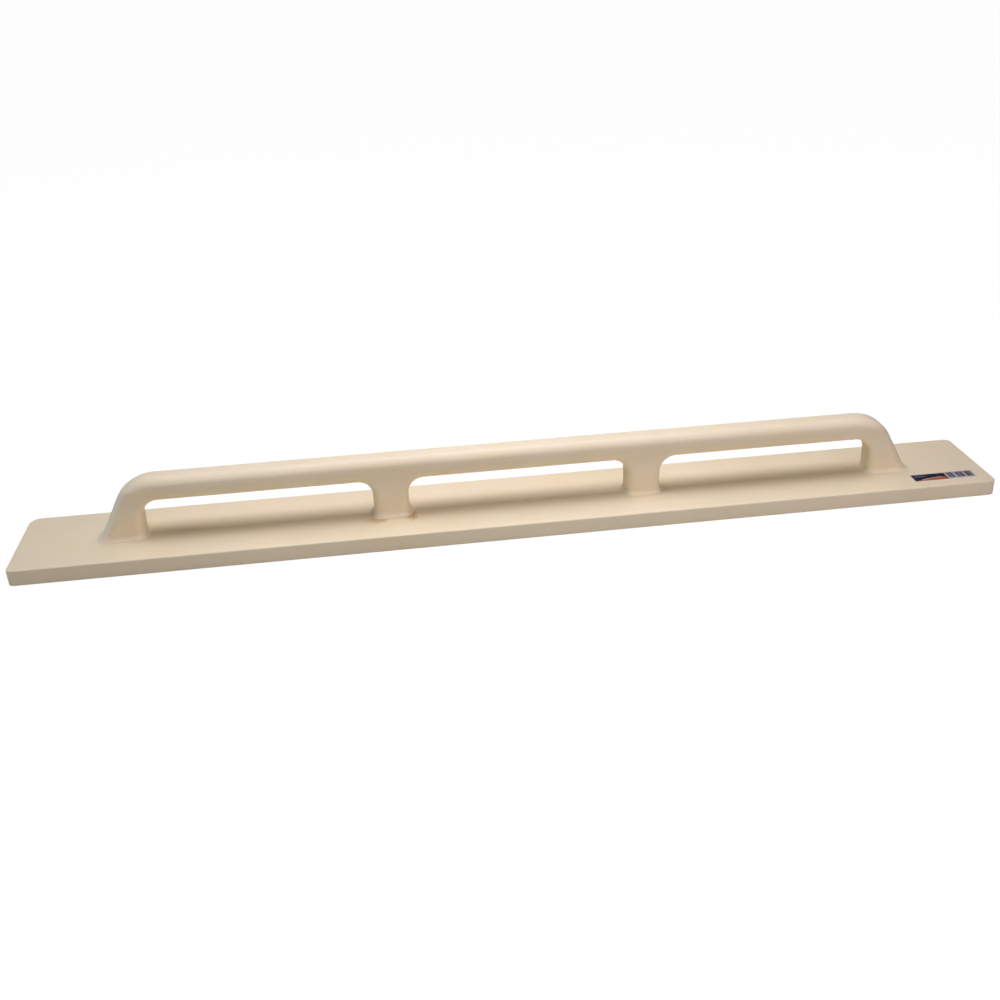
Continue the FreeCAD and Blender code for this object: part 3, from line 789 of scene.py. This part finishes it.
def label_bars():
    """(left, right) of each made-up bar."""
    unit = BARS_LENGTH / sum(BAR_WIDTHS)
    bars, x = [], BARS_LEFT
    for i, width in enumerate(BAR_WIDTHS):
        if i % 2 == 0:
            bars.append((x, x + width * unit))
        x += width * unit
    return bars


def label_row_y(j, x):
    if ROW_LINES[j] is not None:
        return ROW_LINES[j]
    if x > PANEL_RIGHT:
        return -5.7 if j == 2 else -4.6
    share = min(1.0, max(0.0, (x - PANEL_LEFT) / (SLANT_END - PANEL_LEFT)))
    return -6.4 + 5.6 * share + (0.9 if j == 3 else 0.0)


def label_film(x, j, bars):
    """Film of the cell in row j with its middle at x."""
    last = len(ROW_LINES) - 2
    if PANEL_LEFT < x < PANEL_RIGHT and 0 < j < last:
        left, right, film = PANEL_PRINT.get(j, (0.0, 0.0, DARK))
        return film if left < x < right else DARK
    if x > PANEL_RIGHT and 1 < j < last and any(left < x < right for left, right in bars):
        return BARS
    return GROUND


def build_label():
    """Vinyl sticker: one closed sheet whose top is cut into printed cells.
    A panel of plain bands on the left, made-up bars on the right."""
    middle = (label_lo + label_hi) / 2 / MM
    bars = label_bars()
    columns = sorted({-LABEL_HALF_X, PANEL_LEFT, *PANEL_BREAKS, SLANT_END, PANEL_RIGHT,
                      LABEL_HALF_X, *(x for bar in bars for x in bar)})
    nx, ny = len(columns), len(ROW_LINES)

    def point(i, j, z):
        x = columns[i]
        y = label_row_y(j, x)
        # the film lifts a hair at its back right corner
        from_corner = math.hypot(x - LABEL_HALF_X, y - LABEL_HALF_Y)
        lift = 0.35 * max(0.0, 1 - from_corner / 7.0) ** 2
        if i in (0, nx - 1) and j in (0, ny - 1):
            x += CORNER_CUT if i == 0 else -CORNER_CUT
            y += CORNER_CUT if j == 0 else -CORNER_CUT
        return middle.x + x, middle.y + y, z + lift

    places = [(i, j) for i in range(nx) for j in range(ny)]
    border = border_loop(nx, ny)
    top = {place: k for k, place in enumerate(places)}
    low = {place: len(places) + k
           for k, place in enumerate(p for p in places if p in border)}
    verts = [point(i, j, FILM_TOP) for i, j in top] + [point(i, j, FILM_BOTTOM) for i, j in low]
    faces, films = [], []
    for i in range(nx - 1):
        for j in range(ny - 1):
            faces.append((top[i, j], top[i + 1, j], top[i + 1, j + 1], top[i, j + 1]))
            films.append(label_film((columns[i] + columns[i + 1]) / 2, j, bars))
    for a, b in zip(border, border[1:] + border[:1]):
        faces.append((top[b], top[a], low[a], low[b]))
    # underside as one strip of faces along the sheet
    for i in range(nx - 1):
        a, b = low[i, 0], low[i + 1, 0]
        c, d = low[i + 1, ny - 1], low[i, ny - 1]
        if i == 0:
            faces.append([low[0, j] for j in range(ny)] + [c, b])
        elif i == nx - 2:
            faces.append([a, d] + [low[nx - 1, j] for j in range(ny - 1, -1, -1)])
        else:
            faces.append((a, d, c, b))
    films += [GROUND] * (len(faces) - len(films))
    make_piece("product_label", verts, faces, LABEL_FILMS, replaces="label",
               material_index=films)


build_blade()
build_handle()
build_flash()
build_resin()
build_label()

# hidden pieces that stay as CAD nodes
for node, material in (("adhesive_bonds", RESIN), ("post_dowels", WOOD),
                       ("handle_core_tube", STEEL), ("tube_end_plugs", PLUG),
                       ("blade_core_bars", ALUMINIUM)):
    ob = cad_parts[node]
    if not ob.data.materials:
        ob.data.materials.append(material)
    for material_slot in ob.material_slots:
        material_slot.link = "OBJECT"
        material_slot.material = material


# --------------------------------------------- floor, lights, world (metres)
def floor_material():
    """Pale matt floor. Seen directly it glows a little, so that it stays pale
    far off; it throws back less light than it shows, as a sweep of paper would."""
    mat = NodeMaterial("pale_floor")
    colour = mat.ramp(mat.noise(scale=2.0, roughness=0.5),
                      [(0.3, (0.86, 0.86, 0.86, 1.0)), (0.7, (0.88, 0.88, 0.88, 1.0))])
    seen = mat.add("ShaderNodeLightPath").outputs["Is Camera Ray"]
    dim = mat.mix(1.0, (0.57, 0.57, 0.50, 1.0), colour, "MULTIPLY")
    mat.finish(Base_Color=mat.mix(seen, dim, colour), Roughness=0.9, Specular_IOR_Level=0.1)
    glow = mat.add("ShaderNodeEmission", {"Color": (1, 1, 1, 1), "Strength": 1.06})
    glow_share = mat.math("MULTIPLY", seen, 0.93)
    mixer = mat.add("ShaderNodeMixShader",
                    {0: glow_share, 1: mat.bsdf.outputs[0], 2: glow.outputs[0]})
    mat.feed(mat.tree.nodes["Material Output"].inputs["Surface"], mixer.outputs[0])
    return mat.material


def build_floor():
    mesh = bpy.data.meshes.new("floor")
    half = 30.0
    mesh.from_pydata([(-half, -half, 0), (half, -half, 0), (half, half, 0), (-half, half, 0)],
                     [], [(0, 1, 2, 3)])
    ob = bpy.data.objects.new("floor", mesh)
    ob.location.z = -0.0002     # just clear of the sole
    bpy.context.scene.collection.objects.link(ob)
    mesh.materials.append(floor_material())


def add_area_light(name, place, target, size, power, colour):
    light = bpy.data.lights.new(name, "AREA")
    light.shape = "RECTANGLE"
    light.size, light.size_y = size
    light.energy = power
    light.color = colour
    ob = bpy.data.objects.new(name, light)
    bpy.context.scene.collection.objects.link(ob)
    ob.location = place
    aim = Vector(target) - Vector(place)
    ob.rotation_euler = aim.to_track_quat("-Z", "Y").to_euler()
    return ob


build_floor()

TOP_TINT = (0.765, 0.775, 1.0)
FRONT_TINT = (0.745, 0.72, 1.0)
SHEEN_TINT = (1.0, 0.97, 0.58)
LEFT_TINT = (0.52, 0.66, 1.0)
ORIGIN = (0.0, 0.0, 0.0)
LOW = (0.0, 0.0, 0.03)
# name, place, target, size, power in watts, colour
LIGHTS = [
    ("front_high", (0.1, -1.0, 1.30), ORIGIN, (1.3, 0.40), 1.3, TOP_TINT),
    ("overhead_front", (0.0, -0.17, 1.30), ORIGIN, (1.3, 0.36), 4.5, TOP_TINT),
    ("overhead_middle", (0.0, 0.02, 1.30), ORIGIN, (1.3, 0.36), 3.0, TOP_TINT),
    ("overhead_back", (0.0, 0.22, 1.30), ORIGIN, (1.3, 0.36), 4.9, TOP_TINT),
    ("front_sheen", (0.1, -1.6, 1.20), (0.0, 0.0, 0.06), (2.2, 1.2), 44.0, SHEEN_TINT),
    ("near_top", (0.0, 0.0, 0.75), ORIGIN, (0.4, 0.25), 1.45, TOP_TINT),
    ("near_top_back", (0.0, 0.30, 0.74), ORIGIN, (0.4, 0.25), 1.95, TOP_TINT),
    ("front_right", (1.1, -1.7, 0.35), (0.2, 0.0, 0.03), (1.2, 0.45), 11.9, FRONT_TINT),
    ("front_middle", (0.0, -2.0, 0.35), LOW, (1.2, 0.45), 3.3, FRONT_TINT),
    ("side_left", (-1.9, 0.0, 0.40), (-0.3, 0.0, 0.03), (1.0, 0.7), 10.4, LEFT_TINT),
    ("low_back", (0.3, 1.9, 0.35), LOW, (1.4, 0.45), 0.9, TOP_TINT),
]
lights = {row[0]: add_area_light(*row) for row in LIGHTS}
# this tall panel is only seen as a soft sheen along the bar
lights["front_sheen"].visible_diffuse = False


def build_world():
    """A dim warm room, shown to the camera as a plain white backdrop."""
    world = bpy.data.worlds.new("studio")
    bpy.context.scene.world = world
    world.use_nodes = True
    nodes, links = world.node_tree.nodes, world.node_tree.links
    room = nodes["Background"]
    room.inputs["Color"].default_value = (1.0, 0.80, 0.45, 1.0)
    room.inputs["Strength"].default_value = 0.015
    backdrop = nodes.new("ShaderNodeBackground")
    backdrop.inputs["Color"].default_value = (1.0, 1.0, 1.0, 1.0)
    backdrop.inputs["Strength"].default_value = 1.0
    light_path = nodes.new("ShaderNodeLightPath")
    choose = nodes.new("ShaderNodeMixShader")
    links.new(light_path.outputs["Is Camera Ray"], choose.inputs[0])
    links.new(room.outputs[0], choose.inputs[1])
    links.new(backdrop.outputs[0], choose.inputs[2])
    links.new(choose.outputs[0], nodes["World Output"].inputs["Surface"])


build_world()


# ----------------------------------------------------------- camera and view
def build_camera():
    data = bpy.data.cameras.new("camera")
    ob = bpy.data.objects.new("camera", data)
    bpy.context.scene.collection.objects.link(ob)
    # the camera's own axes, and its place in metres
    right = Vector((0.98926, -0.14362, -0.02707))
    down = Vector((-0.08873, -0.44304, -0.89210))
    forward = Vector((0.11613, 0.88493, -0.45102))
    place = (-0.13367778, -1.0578687, 0.55482264)
    turn = Matrix((right, -down, -forward)).transposed().to_4x4()
    ob.matrix_world = Matrix.Translation(place) @ turn
    data.sensor_width = 36.0
    data.lens = 41.335542
    data.shift_x = -0.023025
    data.shift_y = -0.00035
    data.clip_start = 0.05
    data.clip_end = 100.0
    bpy.context.scene.camera = ob


build_camera()

view = bpy.context.scene.view_settings
view.view_transform = "Standard"
view.look = "None"
view.exposure = 0.0
view.gamma = 1.0
